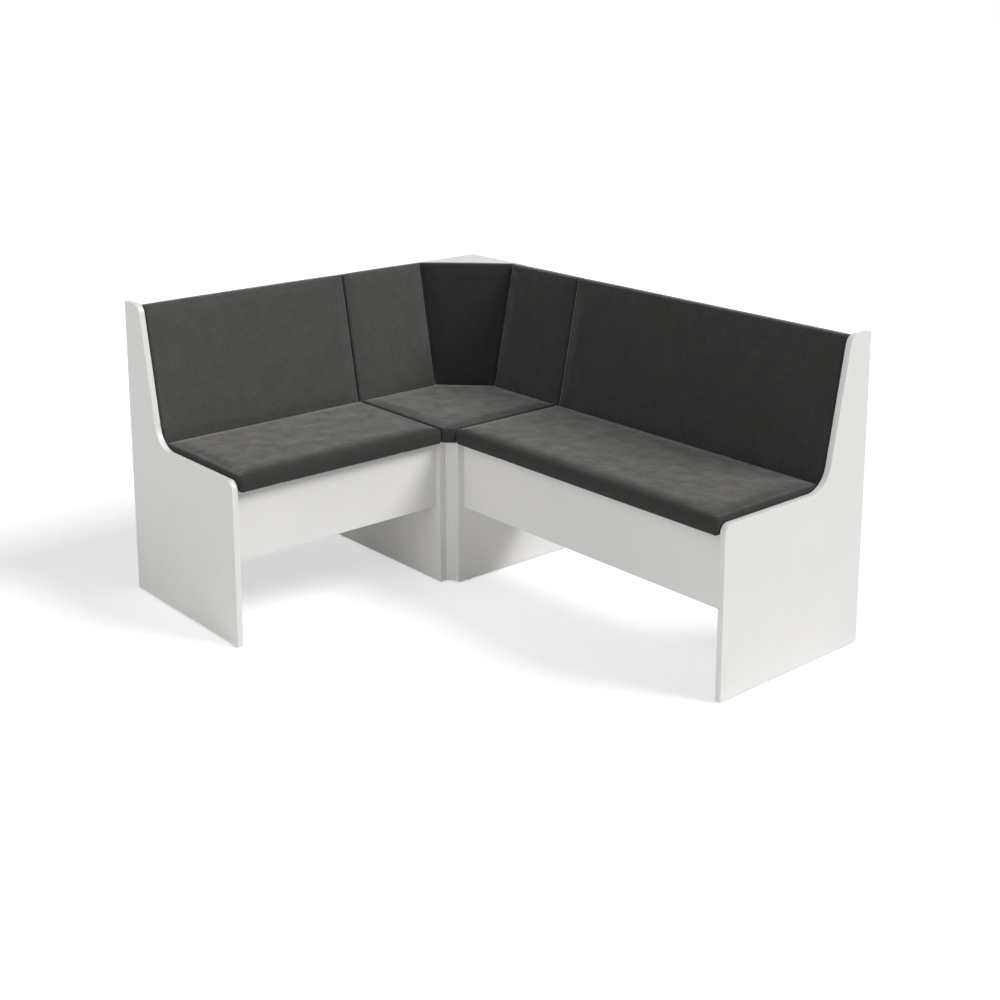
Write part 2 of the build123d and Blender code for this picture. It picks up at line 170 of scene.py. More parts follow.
sheet = bmesh.new()
bmesh.ops.create_grid(sheet, x_segments=2, y_segments=2, size=floor_half)
floor = show(sheet, "studio_floor")
floor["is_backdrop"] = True

paper = bpy.data.materials.new("studio_paper")
paper.use_nodes = True
tree = paper.node_tree
tree.nodes.clear()
pale = (floor_white, floor_white, floor_white, 1.0)
paper_matt = add_node(tree, "ShaderNodeBsdfDiffuse", {"Color": pale})
paper_glow = add_node(tree, "ShaderNodeEmission")
paper_lift = calculate(tree, "MULTIPLY", seen_directly(tree), floor_lift)
join(tree, paper_lift, paper_glow.inputs["Strength"])
paper_sum = add_node(tree, "ShaderNodeAddShader")
join(tree, paper_matt.outputs[0], paper_sum.inputs[0])
join(tree, paper_glow.outputs[0], paper_sum.inputs[1])
paper_end = add_node(tree, "ShaderNodeOutputMaterial")
join(tree, paper_sum.outputs[0], paper_end.inputs["Surface"])
floor.data.materials.append(paper)
print("floor:", 2 * floor_half, "m wide")

# %% Make the sky
sky_level = 0.16
sky = bpy.data.worlds.new("studio_sky")
sky.use_nodes = True
scene.world = sky
tree = sky.node_tree
sky_strength = add_node(tree, "ShaderNodeMapRange", {"To Min": sky_level, "To Max": 1.0})
join(tree, seen_directly(tree), sky_strength.inputs["Value"])
backdrop = tree.nodes["Background"]
backdrop.inputs["Color"].default_value = (1.0, 1.0, 1.0, 1.0)
join(tree, sky_strength.outputs["Result"], backdrop.inputs["Strength"])
print("light of the sky on the bench:", sky_level)

# %% [markdown]
# ## Lamps
# Three wide soft lamps do the rest. The main one is a high window to the right and a little behind, so
# the seats and the short back are lit, and the long back is in shade and shades the rear of its seat.
# The finishes also add painted light to the short back and painted shade to the long back.
# A large screen in front fills the shadows, and a softbox overhead adds only a little.
# Together with the sky they light a white panel to about its own colour.

# %% Hang the lamps
def hang_lamp(name, towards_lamp, strength, spread):
    """A wide far lamp: its light comes from a direction, and a larger spread gives softer shadows."""
    light = bpy.data.lights.new(name, "SUN")
    light.energy = strength
    light.angle = math.radians(spread)
    lamp = bpy.data.objects.new(name, light)
    lamp.rotation_euler = Vector(towards_lamp).to_track_quat("Z", "Y").to_euler()
    scene.collection.objects.link(lamp)
    return lamp


side = hang_lamp("side_window", towards_lamp=(1.0, 0.7, 1.1), strength=2.18, spread=25.0)
front = hang_lamp("front_screen", towards_lamp=(0.2, -1.0, 0.5), strength=0.95, spread=60.0)
overhead = hang_lamp("overhead_softbox", towards_lamp=(0.1, -0.1, 1.0), strength=0.15, spread=70.0)
print("lamps:", side.name, front.name, overhead.name)

# %% [markdown]
# ## Clouds for every finish
# No real surface is quite even. Cloudy noise on the object's own coordinates is put to three uses in
# every finish: it shifts the colour, it breaks up the gloss, and it stands as a fine relief.

# %% Helpers for cloudy finishes
noise_low = 0.3
noise_high = 0.7


def own_place(tree):
    """The object's own coordinates, in metres."""
    return add_node(tree, "ShaderNodeTexCoord").outputs["Object"]


def blotches(tree, place, scale, detail, roughness):
    """Cloudy noise on the object's own coordinates."""
    values = {"Scale": scale, "Detail": detail, "Roughness": roughness}
    cloud = add_node(tree, "ShaderNodeTexNoise", values)
    join(tree, place, cloud.inputs["Vector"])
    return cloud.outputs[0]


def ramp(tree, value, stops):
    """Colours along a value, each stop a position and a colour."""
    band = add_node(tree, "ShaderNodeValToRGB")
    points = band.color_ramp.elements
    while len(points) < len(stops):
        points.new(0.5)
    for point, (position, colour) in zip(points, stops):
        point.position = position
        point.color = (*colour, 1.0)
    join(tree, value, band.inputs["Fac"])
    return band.outputs["Color"]


def two_tones(tree, value, dark, light):
    """From a darker to a lighter colour over the range where noise mostly lies."""
    return ramp(tree, value, [(noise_low, dark), (noise_high, light)])


def spread_value(tree, value, low, high):
    """Moves a value from the range where noise mostly lies to another range."""
    ranges = {"From Min": noise_low, "From Max": noise_high, "To Min": low, "To Max": high}
    stretch = add_node(tree, "ShaderNodeMapRange", ranges)
    join(tree, value, stretch.inputs["Value"])
    return stretch.outputs["Result"]


def relief(tree, value, strength, height, under=None):
    """A bump from a height, on top of another bump if there is one."""
    bump = add_node(tree, "ShaderNodeBump", {"Strength": strength, "Distance": height})
    join(tree, value, bump.inputs["Height"])
    if under is not None:
        join(tree, under, bump.inputs["Normal"])
    return bump.outputs["Normal"]


print("noise lies mostly from", noise_low, "to", noise_high)

# %% [markdown]
# ## White melamine
# The boards are chipboard with a white melamine face. Up close that face has a fine pearl texture that
# breaks up the gloss, and the white is never quite even. Where a board meets the wall or the floor it
# has no edge band, so the bare chipboard shows there. The finish finds those edges from the place of
# each point.

# %% Find the bare edges and colour the chips
wall_y = cad_high.y
wall_x = cad_low.x
panel_foot = 3.0 * millimetre
bare_edge = 0.15 * millimetre
chip_browns = [
    (0.0, (0.20, 0.13, 0.075)),
    (0.25, (0.42, 0.30, 0.185)),
    (0.6, (0.55, 0.42, 0.27)),
    (1.0, (0.66, 0.53, 0.37)),
]


def blend_colours(tree, share, first, second):
    """Mixes two colours by a share."""
    mix = add_node(tree, "ShaderNodeMix", data_type="RGBA")
    join(tree, share, mix.inputs["Factor"])
    join(tree, first, mix.inputs[6])
    join(tree, second, mix.inputs[7])
    return mix.outputs[2]


def chip_colours(tree, place):
    """Colour and height of chipboard: flat flakes of many browns, with fine dust between them."""
    flakes = add_node(tree, "ShaderNodeTexVoronoi", {"Scale": 420.0, "Randomness": 1.0})
    join(tree, place, flakes.inputs["Vector"])
    tone = add_node(tree, "ShaderNodeSeparateColor")
    join(tree, flakes.outputs["Color"], tone.inputs["Color"])
    chips = ramp(tree, tone.outputs[0], chip_browns)
    clouds = blotches(tree, place, scale=90.0, detail=8.0, roughness=0.7)
    dust = two_tones(tree, clouds, dark=(0.40, 0.29, 0.18), light=(0.60, 0.47, 0.32))
    patches = blotches(tree, place, scale=300.0, detail=4.0, roughness=0.6)
    share = spread_value(tree, patches, low=0.25, high=0.85)
    return blend_colours(tree, share, chips, dust), flakes.outputs["Distance"]


def bare_edges(tree, place):
    """One on the cut edges of a board at the two walls and at the floor."""
    axes = add_node(tree, "ShaderNodeSeparateXYZ")
    join(tree, place, axes.inputs[0])
    at_long_wall = calculate(tree, "GREATER_THAN", axes.outputs["Y"], wall_y - bare_edge)
    at_short_wall = calculate(tree, "LESS_THAN", axes.outputs["X"], wall_x + bare_edge)
    at_floor = calculate(tree, "LESS_THAN", axes.outputs["Z"], panel_foot + bare_edge)
    at_walls = calculate(tree, "MAXIMUM", at_long_wall, at_short_wall)
    return calculate(tree, "MAXIMUM", at_walls, at_floor)


print("bare edges at y", round(wall_y, 3), "and x", round(wall_x, 3))

# %% Mix the white melamine
melamine, tree, shader = new_finish("white_melamine", {"Specular IOR Level": 0.45})
place = own_place(tree)
clouds = blotches(tree, place, scale=7.0, detail=5.0, roughness=0.55)
white_face = two_tones(tree, clouds, dark=(0.800, 0.791, 0.773), light=(0.826, 0.817, 0.799))
chips = chip_colours(tree, place)[0]
edge_share = bare_edges(tree, place)
join(tree, blend_colours(tree, edge_share, white_face, chips), shader.inputs["Base Color"])
smears = blotches(tree, place, scale=38.0, detail=6.0, roughness=0.6)
join(tree, spread_value(tree, smears, low=0.36, high=0.50), shader.inputs["Roughness"])
pearl = blotches(tree, place, scale=950.0, detail=2.0, roughness=0.5)
join(tree, relief(tree, pearl, strength=0.10, height=0.2 * millimetre), shader.inputs["Normal"])
print("finish:", melamine.name)

# %% [markdown]
# ## Edge band
# The shaped edge of an end panel is closed with a thin plastic band. It is the same white as the face,
# a little smoother, with the faint unevenness that trimming leaves.

# %% Mix the white edge band
band_white, tree, shader = new_finish("white_edge_band", {"Specular IOR Level": 0.5})
place = own_place(tree)
clouds = blotches(tree, place, scale=12.0, detail=4.0, roughness=0.5)
bands = two_tones(tree, clouds, dark=(0.812, 0.803, 0.786), light=(0.838, 0.829, 0.812))
join(tree, bands, shader.inputs["Base Color"])
smears = blotches(tree, place, scale=60.0, detail=5.0, roughness=0.6)
join(tree, spread_value(tree, smears, low=0.30, high=0.42), shader.inputs["Roughness"])
scrapes = blotches(tree, place, scale=700.0, detail=3.0, roughness=0.5)
join(tree, relief(tree, scrapes, strength=0.08, height=0.2 * millimetre), shader.inputs["Normal"])
print("finish:", band_white.name)

# %% [markdown]
# ## Raw chipboard
# The boards under the upholstery and the rails behind it are never seen in use, so they stay raw.

# %% Mix the raw chipboard
chipboard, tree, shader = new_finish("raw_chipboard", {"Specular IOR Level": 0.2})
place = own_place(tree)
chips, chip_height = chip_colours(tree, place)
join(tree, chips, shader.inputs["Base Color"])
pores = blotches(tree, place, scale=240.0, detail=4.0, roughness=0.6)
join(tree, spread_value(tree, pores, low=0.72, high=0.92), shader.inputs["Roughness"])
join(tree, relief(tree, chip_height, strength=0.25, height=0.6 * millimetre), shader.inputs["Normal"])
print("finish:", chipboard.name)

# %% [markdown]
# ## Brushed microfibre
# The upholstery is a dark grey microfibre with a short brushed nap. Three things make it: fine fibres,
# cloudy patches where the nap lies another way, and a sheen that lightens it at a low angle.
# The patches change the sheen most, so they show on the seats and hardly on the backs. Where a seat's
# surface tilts away from level, at its rolled front and its edges, colour and sheen are made deeper by
# that tilt: a painted shade.
# The same cloth is made as four finishes, and each multiplies its greys by a shade for the pieces that
# wear it. Above one this is painted light, on the short backs. Below one it is painted shade, on the
# seats and the long backs, and deepest on the diagonal back.

# %% Mix the microfibre
cloth_greys = [
    (0.0, (0.041, 0.0401, 0.0383)),
    (0.5, (0.058, 0.0567, 0.0541)),
    (1.0, (0.078, 0.0762, 0.0728)),
]
stroke_scale = (1.0, 1.0, 0.5)


def fade(tree, value, least):
    """One where a value is nought, falling to a least share where it is one."""
    fall = add_node(tree, "ShaderNodeMapRange", {"To Min": 1.0, "To Max": least})
    join(tree, value, fall.inputs["Value"])
    return fall.outputs["Result"]


def brushed_microfibre(name, shade):
    """Brushed cloth whose greys are multiplied by a shade of painted light: above one lighter, below one
    in shade.
    """
    values = {"Specular IOR Level": 0.15, "Sheen Roughness": 0.45, "Sheen Tint": (0.82, 0.80, 0.77, 1.0)}
    finish, tree, shader = new_finish(name, values)
    place = own_place(tree)
    nap = blotches(tree, place, scale=20.0, detail=7.0, roughness=0.66)
    brush = add_node(tree, "ShaderNodeMapping", {"Scale": stroke_scale})
    join(tree, place, brush.inputs["Vector"])
    strokes = blotches(tree, brush.outputs["Vector"], scale=280.0, detail=4.0, roughness=0.6)
    fibres = blotches(tree, place, scale=1100.0, detail=3.0, roughness=0.6)
    slow = spread_value(tree, nap, low=-0.12, high=0.12)
    patches = calculate(tree, "ADD", slow, spread_value(tree, strokes, low=0.25, high=0.75))
    fine = spread_value(tree, fibres, low=-0.20, high=0.20)
    mottle = calculate(tree, "ADD", patches, fine, use_clamp=True)
    greys = [(position, [shade * part for part in grey]) for position, grey in cloth_greys]
    # Painted shade: greys deeper and sheen weaker where a seat's surface tilts from level.
    painted_tilt_shade = add_node(tree, "ShaderNodeAttribute", attribute_name="painted_tilt_shade").outputs["Fac"]
    deepened = add_node(tree, "ShaderNodeVectorMath", operation="SCALE")
    join(tree, ramp(tree, mottle, greys), deepened.inputs[0])
    join(tree, fade(tree, painted_tilt_shade, least=0.85), deepened.inputs["Scale"])
    join(tree, deepened.outputs[0], shader.inputs["Base Color"])
    join(tree, spread_value(tree, nap, low=0.80, high=0.95), shader.inputs["Roughness"])
    lying = spread_value(tree, nap, low=0.46, high=0.96)
    sheen = calculate(tree, "MULTIPLY", lying, fade(tree, painted_tilt_shade, least=0.2))
    join(tree, sheen, shader.inputs["Sheen Weight"])
    hills = relief(tree, nap, strength=0.50, height=5.0 * millimetre)
    tufts = relief(tree, strokes, strength=0.30, height=0.6 * millimetre, under=hills)
    fuzz = relief(tree, fibres, strength=0.35, height=0.4 * millimetre, under=tufts)
    join(tree, fuzz, shader.inputs["Normal"])
    return finish


# These shades are painted light and shade per piece: short backs lighter; seats, long backs and diagonal
# back darker.
microfibre = brushed_microfibre("anthracite_microfibre", shade=1.25)
seat_microfibre_painted_shade = brushed_microfibre("anthracite_microfibre_seat", shade=0.8)
long_microfibre_painted_shade = brushed_microfibre("anthracite_microfibre_long_painted_shade", shade=0.60)
diagonal_microfibre_painted_shade = brushed_microfibre("anthracite_microfibre_diagonal_painted_shade", shade=0.40)
print("finishes:", microfibre.name, seat_microfibre_painted_shade.name, long_microfibre_painted_shade.name, diagonal_microfibre_painted_shade.name)

# %% [markdown]
# ## Metal, beech and plastic
# Hinges, plates and screws are zinc plated steel: a grey metal with fine grain and cloudy dull patches.
# The cams are cast zinc, duller and finer in grain. Dowels are beech, and glides are moulded plastic.

# %% Mix the metals
def metal(name, dark, light, rough_low, rough_high, grain):
    """A bare metal with cloudy colour, and a grain of a given fineness in its gloss and relief."""
    finish, tree, shader = new_finish(name, {"Metallic": 1.0})
    place = own_place(tree)
    clouds = blotches(tree, place, scale=80.0, detail=6.0, roughness=0.6)
    join(tree, two_tones(tree, clouds, dark, light), shader.inputs["Base Color"])
    fine = blotches(tree, place, grain, detail=4.0, roughness=0.6)
    join(tree, spread_value(tree, fine, rough_low, rough_high), shader.inputs["Roughness"])
    join(tree, relief(tree, fine, strength=0.15, height=0.2 * millimetre), shader.inputs["Normal"])
    return finish


plated_steel = metal("zinc_plated_steel", dark=(0.46, 0.46, 0.47), light=(0.62, 0.62, 0.63),
                     rough_low=0.26, rough_high=0.46, grain=500.0)
cast_zinc = metal("cast_zinc", dark=(0.38, 0.39, 0.40), light=(0.54, 0.55, 0.56),
                  rough_low=0.40, rough_high=0.62, grain=1200.0)
print("finishes:", plated_steel.name, cast_zinc.name)

# %% Mix the beech and the plastic
beech, tree, shader = new_finish("beech_dowel", {"Specular IOR Level": 0.3})
grain = blotches(tree, own_place(tree), scale=600.0, detail=6.0, roughness=0.6)
woods = two_tones(tree, grain, dark=(0.52, 0.34, 0.19), light=(0.70, 0.52, 0.34))
join(tree, woods, shader.inputs["Base Color"])
join(tree, spread_value(tree, grain, low=0.55, high=0.75), shader.inputs["Roughness"])
join(tree, relief(tree, grain, strength=0.2, height=0.3 * millimetre), shader.inputs["Normal"])

glide_white, tree, shader = new_finish("moulded_glide", {"Specular IOR Level": 0.4})
grain = blotches(tree, own_place(tree), scale=900.0, detail=3.0, roughness=0.5)
whites = two_tones(tree, grain, dark=(0.50, 0.50, 0.48), light=(0.58, 0.58, 0.56))
join(tree, whites, shader.inputs["Base Color"])
join(tree, spread_value(tree, grain, low=0.45, high=0.62), shader.inputs["Roughness"])
join(tree, relief(tree, grain, strength=0.15, height=0.2 * millimetre), shader.inputs["Normal"])
print("finishes:", beech.name, glide_white.name)

# %% [markdown]
# ## Finishes on the solids
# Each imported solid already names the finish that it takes. A solid whose shape is right keeps it and
# only gets the new material. A cut board also gets a slight arris, because a saw never leaves an edge
# of no width: Weld joins its loose triangles first, and then Bevel can find the edges.

# %% Put the finishes on
finish_of_slot = {
    "white_board": melamine,
    "white_edging": band_white,
    "raw_board": chipboard,
    "upholstery": microfibre,
    "steel": plated_steel,
    "zinc": cast_zinc,
    "beech": beech,
    "glide_plastic": glide_white,
}
merge_distance = 0.001 * millimetre
arris = 0.4 * millimetre
banded_arris = 0.12 * millimetre
arris_angle = math.radians(50.0)


def soften(piece, width):
    """Gives a packed board a slight arris along its sharp edges."""
    weld = piece.modifiers.new("weld", "WELD")
    weld.merge_threshold = merge_distance
    bevel = piece.modifiers.new("arris", "BEVEL")
    bevel.width = width
    bevel.segments = 2
    bevel.limit_method = "ANGLE"
    bevel.angle_limit = arris_angle
    bevel.use_clamp_overlap = True


dressed = 0
for name, node in nodes.items():
    slot_name = node.material_slots[0].material.name.split(".")[0]
    node.material_slots[0].material = finish_of_slot[slot_name]
    if slot_name in ("white_board", "raw_board"):
        soften(node, banded_arris if name.endswith("end_panel") else arris)
        dressed += 1
print("boards with an arris:", dressed)

# %% [markdown]
# ## A frame for every board
# Backs lean and seats lie flat, but each is a board with a cushion on one face. Working in the board's
# own frame makes them all alike: x and y lie in the board, z points out of the cushion, and z is nought
# on the board's rear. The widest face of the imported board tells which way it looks. Fronts and seats
# all look a little upwards.

# %% Find a board's own frame
facing = 0.9


def board_frame(board):
    """Matrix from a board's own frame to the bench: z is nought on its rear and points to its cushion."""
    mesh = board.data
    widest = max(mesh.polygons, key=lambda face: face.area)
    out = widest.normal.copy()
    if out.z < 0:
        out.negate()
    uphill = UP if abs(out.z) < facing else ALONG_Y
    rise = (uphill - out * uphill.dot(out)).normalized()
    across = rise.cross(out)
    rear = min(vertex.co.dot(out) for vertex in mesh.vertices)
    turn = Matrix((across, rise, out)).transposed().to_4x4()
    return Matrix.Translation(out * rear) @ turn


cushion_bodies = {
    "long_seat": "long_seat",
    "short_seat": "short_seat",
    "corner_seat": "frame",
    "long_back": "frame",
    "short_back": "frame",
    "corner_long_back": "frame",
    "corner_short_back": "frame",
    "corner_diagonal_back": "frame",
}
# Each cushion takes the finish whose shade paints its light or shade.
cushion_finish = {
    "long_seat": seat_microfibre_painted_shade,
    "short_seat": seat_microfibre_painted_shade,
    "corner_seat": seat_microfibre_painted_shade,
    "long_back": long_microfibre_painted_shade,
    "short_back": microfibre,
    "corner_long_back": long_microfibre_painted_shade,
    "corner_short_back": microfibre,
    "corner_diagonal_back": diagonal_microfibre_painted_shade,
}
places = {name: board_frame(nodes[name + "_board"]) for name in cushion_bodies}
leans = {name: round(math.degrees(math.acos(place[2][2])), 1) for name, place in places.items()}
print("angle of each cushion from level:", leans)

# %% [markdown]
# ## Cushions, first step: a closed form
# A packed cushion is hollow behind, where its board sits. Cloth needs a closed skin, so the walls of
# the hollow come off one copy, and its open rear is closed with a single face. A second copy keeps
# nothing but the hollow, for later.
# An even mesh comes next: the Remesh modifier rebuilds the skin from small cubes of space.

# %% Close the cushions
board_play = 0.3 * millimetre


def merged_copy(node):
    """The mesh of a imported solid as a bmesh, with its loose triangles joined."""
    form = bmesh.new()
    form.from_mesh(node.data)
    bmesh.ops.remove_doubles(form, verts=form.verts, dist=merge_distance)
    return form


def in_board_frame(name, kind):
    """Merged copy of a packed board or cushion, in the board's own frame."""
    form = merged_copy(nodes[f"{name}_{kind}"])
    form.transform(places[name].inverted())
    form.normal_update()
    return form


def split_hollow(name):
    """A packed cushion in its board's frame, with the faces that touch its board and the others."""
    form = in_board_frame(name, "cushion")
    board = in_board_frame(name, "board")
    surface = BVHTree.FromBMesh(board)
    board.free()
    touching = []
    others = []
    for face in form.faces:
        distance = surface.find_nearest(face.calc_center_median())[3]
        group = touching if distance < board_play else others
        group.append(face)
    return form, touching, others


def closed_cushion(name):
    """The skin of a packed cushion in its board's frame, with its rear closed."""
    form, touching, others = split_hollow(name)
    rim = [face for face in others if face.normal.z < -facing]
    bmesh.ops.delete(form, geom=touching + rim, context="FACES")
    bmesh.ops.holes_fill(form, edges=[edge for edge in form.edges if edge.is_boundary])
    bmesh.ops.recalc_face_normals(form, faces=form.faces)
    return form


cushions = {name: show(closed_cushion(name), name + "_fabric") for name in cushion_bodies}
print("cushions closed:", len(cushions))

# %% Give the cushions an even skin
foam_start = 18.0 * millimetre
skin_step = 6.0 * millimetre
start_inset = 2.0 * millimetre


def foam_share(height):
    """Nought beside the board, and one at the height where only foam is left."""
    return min(max(height / foam_start - 1.0, 0.0), 1.0)


def keep_result(piece):
    """Replaces a piece's mesh by what its modifiers make of it, and removes them."""
    evaluated = piece.evaluated_get(bpy.context.evaluated_depsgraph_get())
    result = bpy.data.meshes.new_from_object(evaluated)
    piece.modifiers.clear()
    piece.data = result


for piece in cushions.values():
    remesh = piece.modifiers.new("even_skin", "REMESH")
    remesh.mode = "VOXEL"
    remesh.voxel_size = skin_step
    keep_result(piece)
    for vertex in piece.data.vertices:
        vertex.co.z -= start_inset * foam_share(vertex.co.z)
print("points of the cushions:", {name: len(piece.data.vertices) for name, piece in cushions.items()})

# %% [markdown]
# ## Cushions, second step: let them swell
# Foam pushes the fabric out from inside, and staples hold it at the board. So the skin becomes cloth
# with a little pressure in it, pinned along the hem. Twenty frames are enough to round it. Foam is not
# a balloon, though, so the swelling is limited softly: a few millimetres outwards, and hardly anything
# to the sides. The limit also leaves room for the lids, which come close to the backs when they stand
# open.

# %% Swell the cushions
hem_height = 7.0 * millimetre
swell_limit = 3.4 * millimetre
side_limit = 1.4 * millimetre
pressure = 0.5
frames = 20


def make_cloth(piece):
    """Turns a cushion's skin into cloth, pinned at its hem and blown up from inside."""
    hem = piece.vertex_groups.new(name="hem")
    pinned = [vertex.index for vertex in piece.data.vertices if vertex.co.z < hem_height]
    hem.add(pinned, 1.0, "REPLACE")
    cloth = piece.modifiers.new("swell", "CLOTH")
    cloth.point_cache.frame_start = 1
    cloth.point_cache.frame_end = frames
    cloth.settings.vertex_group_mass = "hem"
    cloth.settings.use_pressure = True
    cloth.settings.uniform_pressure_force = pressure
    cloth.settings.effector_weights.gravity = 0.0


def soft_limit(amount, limit):
    """An amount that grows ever slower as it nears its limit."""
    return limit * math.tanh(amount / limit)


def settle(piece, before):
    """Limits how far each point of a swollen cushion has moved."""
    for vertex, start in zip(piece.data.vertices, before):
        move = vertex.co - start
        aside = Vector((move.x, move.y, 0.0))
        if aside.length > 0.0:
            aside *= soft_limit(aside.length, side_limit) / aside.length
        vertex.co = start + aside + UP * soft_limit(move.z, swell_limit)


starts = {name: [vertex.co.copy() for vertex in piece.data.vertices] for name, piece in cushions.items()}
for piece in cushions.values():
    make_cloth(piece)
for step in range(1, frames + 1):
    scene.frame_set(step)
for name, piece in cushions.items():
    keep_result(piece)
    moved = max((vertex.co - start).z for vertex, start in zip(piece.data.vertices, starts[name]))
    settle(piece, starts[name])
    print(name, "swelled", round(moved / millimetre, 1), "mm before the limit")
scene.frame_set(1)

# %% [markdown]
# ## Cushions, third step: unevenness, rolled fronts and the hollow
# No two spots of foam are equally firm. A slow noise of under a millimetre takes the machined look off
# the faces. After one smoothing subdivision the skin is filled out wherever it lies inside the packed
# form, because foam is cut to that form and keeps the edges full. The two straight seats are then
# rolled over in front, where the fabric is drawn down over the foam. Last, the rear is cut open again
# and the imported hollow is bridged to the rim, so the board still sits in its cushion and is seen from
# behind as on the real bench.

# %% Shape the faces of the cushions
lump_size = 90.0 * millimetre
lump_height = 0.7 * millimetre
roll_depth = 40.0 * millimetre
roll_drop = 25.0 * millimetre
level_depth = 1.5 * roll_depth
upper_share = 0.8
front_of = {"long_seat": -ALONG_Y, "short_seat": ALONG_X}


def uneven(piece):
    """Moves the face of a cushion in and out by a slow noise."""
    for vertex in piece.data.vertices:
        lump = noise.noise(vertex.co / lump_size) * lump_height
        vertex.co.z += lump * foam_share(vertex.co.z)


def smooth_once(piece):
    """Subdivides a piece once, for good."""
    smooth = piece.modifiers.new("smooth", "SUBSURF")
    smooth.levels = 1
    smooth.render_levels = 1
    keep_result(piece)


def fill_out(piece, name):
    """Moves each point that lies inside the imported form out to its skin."""
    form = closed_cushion(name)
    skin = BVHTree.FromBMesh(form)
    form.free()
    for vertex in piece.data.vertices:
        spot, normal = skin.find_nearest(vertex.co)[:2]
        if (vertex.co - spot).dot(normal) < 0.0:
            vertex.co = spot


def roll_front(piece, front):
    """Rounds the front of a straight seat to a quarter ellipse, below the level just behind it."""
    points = piece.data.vertices
    reach = max(point.co.dot(front) for point in points)
    band = [point.co.z for point in points if roll_depth < reach - point.co.dot(front) < level_depth]
    upper = [height for height in band if height > upper_share * max(band)]
    top = sum(upper) / len(upper)
    for point in points:
        forward = roll_depth - (reach - point.co.dot(front))
        rise = point.co.z - (top - roll_drop)
        away = math.hypot(forward / roll_depth, rise / roll_drop)
        if forward > 0.0 and rise > 0.0 and away > 1.0:
            excess = 1.0 - 1.0 / away
            point.co -= front * (forward * excess) + UP * (rise * excess)
    return top


for name, piece in cushions.items():
    uneven(piece)
    smooth_once(piece)
    fill_out(piece, name)
    if name in front_of:
        print(name, "rolled over at", round(roll_front(piece, front_of[name]) / millimetre, 1), "mm")
print("faces shaped:", len(cushions))

# %% Give the cushions their hollows
rim_height = 0.8 * millimetre
rim_step = 4.0 * millimetre
crown_start = 40.2 * millimetre
crown_turns = 12


def ease_crown(form):
    """Smooths the top of a cushion up and down, so that its crown has no crease."""
    top = [vertex for vertex in form.verts if vertex.co.z > crown_start]
    for turn in range(crown_turns):
        bmesh.ops.smooth_vert(form, verts=top, factor=0.5, use_axis_z=True)


def divide_edges(form, edges, step):
    """Divides each edge into stretches of about one step."""
    for edge in edges:
        cuts = int(edge.calc_length() / step)
        if cuts > 0:
            bmesh.ops.subdivide_edges(form, edges=[edge], cuts=cuts)


def hollow_out(piece, name):
    """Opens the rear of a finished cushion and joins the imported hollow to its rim."""
    hollow, touching, others = split_hollow(name)
    bmesh.ops.delete(hollow, geom=others, context="FACES")
    divide_edges(hollow, [edge for edge in hollow.edges if edge.is_boundary], rim_step)
    form = bmesh.new()
    form.from_mesh(piece.data)
    ease_crown(form)
    everything = form.verts[:] + form.edges[:] + form.faces[:]
    bmesh.ops.bisect_plane(form, geom=everything, plane_co=UP * rim_height, plane_no=UP, clear_inner=True)
    hollow.to_mesh(piece.data)
    hollow.free()
    form.from_mesh(piece.data)
    bmesh.ops.bridge_loops(form, edges=[edge for edge in form.edges if edge.is_boundary])
    bmesh.ops.recalc_face_normals(form, faces=form.faces)
    form.to_mesh(piece.data)
    closed = not any(edge.is_boundary for edge in form.edges)
    form.free()
    return closed


for name, piece in cushions.items():
    print(name, "closed with its hollow:", hollow_out(piece, name))

# %% [markdown]
# ## Hems
# Behind each board the fabric is folded over the edge and held down, so a strip of it shows all round
# the rear. The strip is the board's rear outline, inset once. Its inner edge is wavy, because it is cut
# by hand. Noise vectors start from the clock, so a seed gives the same waves at each run. The strip is
# left out where a rail, a panel or a plate lies on the board, so that nothing is pressed into anything
# else.

# %% Find what lies on the boards
hem_clear = 1.2 * millimetre


def surface_of(node):
    """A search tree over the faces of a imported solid."""
    form = merged_copy(node)
    surface = BVHTree.FromBMesh(form)
    form.free()
    return surface


surfaces = {name: surface_of(node) for name, node in nodes.items()}


def pressed(name, point):
    """Whether another solid lies on the rear of a board at a point."""
    own = (name + "_board", name + "_cushion")
    for node, surface in surfaces.items():
        if node not in own and surface.find_nearest(point, hem_clear)[0] is not None:
            return True
    return False


print("surfaces to keep clear of:", len(surfaces))

# %% Fold the hems
hem_width = 24.0 * millimetre
hem_step = 12.0 * millimetre
hem_wave = 3.0 * millimetre
hem_lift = 0.05 * millimetre
hem_thickness = 0.7 * millimetre
coplanar = math.radians(1.0)
fields_per_staple = 4
hem_seed = 1
noise.seed_set(hem_seed)


def hem_strip(name):
    """The flat strip of fabric on the rear of a board, in the board's frame."""
    form = in_board_frame(name, "board")
    not_rear = [face for face in form.faces if face.normal.z > -facing]
    bmesh.ops.delete(form, geom=not_rear, context="FACES")
    bmesh.ops.dissolve_limit(form, angle_limit=coplanar, verts=form.verts, edges=form.edges)
    divide_edges(form, form.edges[:], hem_step)
    bmesh.ops.inset_individual(form, faces=form.faces[:], thickness=hem_width, use_even_offset=True)
    middle = max(form.faces, key=lambda face: len(face.verts))
    for corner in middle.verts:
        wave = noise.noise_vector(corner.co / hem_width)
        corner.co += Vector((wave.x, wave.y, 0.0)) * hem_wave
    bmesh.ops.delete(form, geom=[middle], context="FACES_ONLY")
    bmesh.ops.translate(form, verts=form.verts, vec=-UP * hem_lift)
    covered = []
    for face in form.faces:
        spots = [corner.co for corner in face.verts] + [face.calc_center_median()]
        if any(pressed(name, places[name] @ spot) for spot in spots):
            covered.append(face)
    bmesh.ops.delete(form, geom=covered, context="FACES")
    return form


def staple_spots(form):
    """Middle and direction of every few fields of a hem."""
    spots = []
    for face in list(form.faces)[::fields_per_staple]:
        short = min(face.edges, key=lambda edge: edge.calc_length())
        spots.append((face.calc_center_median(), short.verts[1].co - short.verts[0].co))
    return spots


